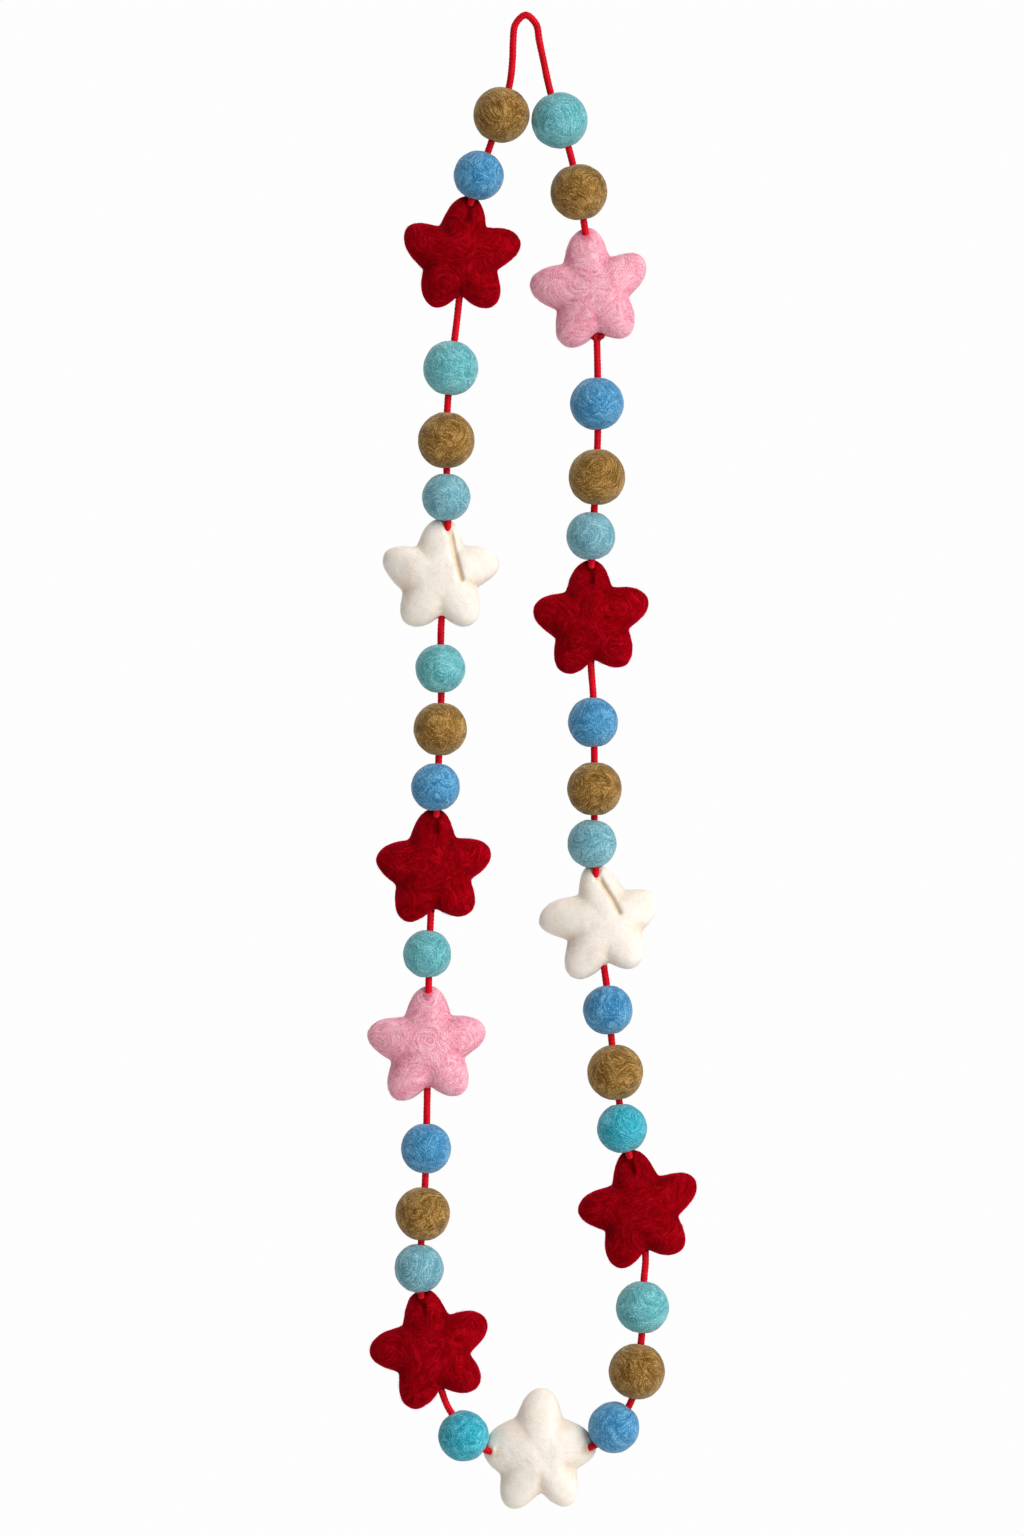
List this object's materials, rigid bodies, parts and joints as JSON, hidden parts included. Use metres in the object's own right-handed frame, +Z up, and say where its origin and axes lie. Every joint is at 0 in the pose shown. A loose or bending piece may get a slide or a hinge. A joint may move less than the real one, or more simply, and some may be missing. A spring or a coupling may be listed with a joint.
{
  "type": "felt star garland",
  "caption": "Hanging garland of wool felt balls and puffy felt stars strung on one knotted red cord, with a loop at its top.",
  "frame": {"origin": "where a nail or hook bears on the inner crown of the hanging loop; everything hangs below it", "axes": "+Z up along the hanging garland, +X to the viewer's right, +Y away from the viewer through the stars' thickness"},
  "size_m": [0.1476, 0.0278, 0.6739],
  "materials": {
    "felt_tan": "matted wool felt, golden tan, with paler wound fibres",
    "felt_blue": "matted wool felt, mid blue",
    "felt_pale_blue": "matted wool felt, pale blue",
    "felt_teal": "matted wool felt, pale teal",
    "felt_cyan": "matted wool felt, bright cyan",
    "felt_red": "matted wool felt, deep red, with stray curled fibres",
    "felt_white": "matted wool felt, cream white",
    "felt_pink": "matted wool felt, mottled rose pink",
    "cord_red": "wrapped red cord with fine slanting ribs"
  },
  "bodies": {
    "root": {"ball_01_blue": "felt_blue", "ball_02_tan": "felt_tan", "ball_03_pale_blue": "felt_pale_blue", "ball_04_blue": "felt_blue", "ball_05_tan": "felt_tan", "ball_06_pale_blue": "felt_pale_blue", "ball_07_blue": "felt_blue", "ball_08_tan": "felt_tan", "ball_09_cyan": "felt_cyan", "ball_10_teal": "felt_teal", "ball_11_tan": "felt_tan", "ball_12_blue": "felt_blue", "ball_13_cyan": "felt_cyan", "ball_14_pale_blue": "felt_pale_blue", "ball_15_tan": "felt_tan", "ball_16_blue": "felt_blue", "ball_17_teal": "felt_teal", "ball_18_blue": "felt_blue", "ball_19_tan": "felt_tan", "ball_20_teal": "felt_teal", "ball_21_pale_blue": "felt_pale_blue", "ball_22_tan": "felt_tan", "ball_23_teal": "felt_teal", "ball_24_blue": "felt_blue", "ball_25_tan": "felt_tan", "ball_26_teal": "felt_teal", "ball_27_tan": "felt_tan", "cord": "cord_red", "cord_knot": "cord_red", "star_01_red": "felt_red", "star_02_white": "felt_white", "star_03_red": "felt_red", "star_04_white": "felt_white", "star_05_red": "felt_red", "star_06_pink": "felt_pink", "star_07_red": "felt_red", "star_08_white": "felt_white", "star_09_red": "felt_red", "star_10_pink": "felt_pink"}
  },
  "joints": []
}
